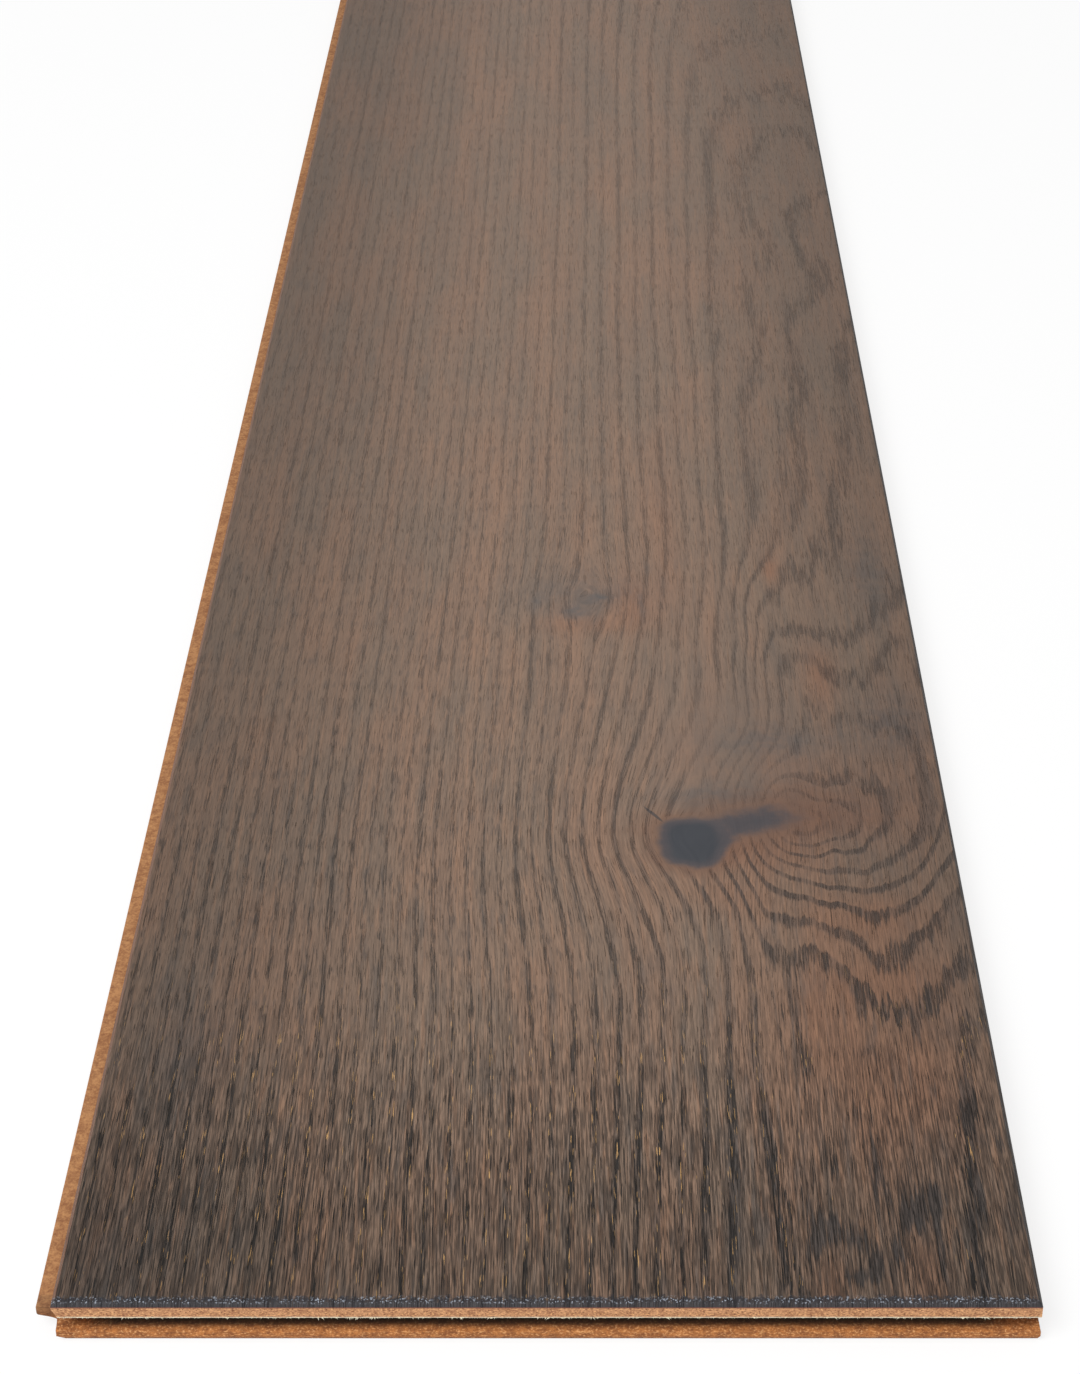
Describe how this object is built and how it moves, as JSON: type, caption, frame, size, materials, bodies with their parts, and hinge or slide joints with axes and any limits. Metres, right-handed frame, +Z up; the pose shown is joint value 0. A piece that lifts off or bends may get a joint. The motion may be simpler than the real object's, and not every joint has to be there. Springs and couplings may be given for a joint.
{
  "type": "wide plank floorboard",
  "caption": "Wide engineered floorboard with a dark brushed oak face and fine bevels on a fibreboard core, milled with tongue and groove along its edges and ends to lay flat.",
  "frame": {"origin": "on the underside, under the middle of the face rectangle, which leaves out the tongues", "axes": "+Z up out of the oak face, +Y along the length from the grooved end to the tongued end, +X across the width from the tongued long edge to the grooved long edge"},
  "size_m": [0.1943, 1.2231, 0.0095],
  "materials": {
    "stained_oak": "dark brown stain on wire-brushed oak under a satin clear coat",
    "fibreboard": "raw high-density fibreboard, milled edges"
  },
  "bodies": {
    "root": {"oak_veneer": "stained_oak", "fibreboard_core": "fibreboard"}
  },
  "joints": []
}
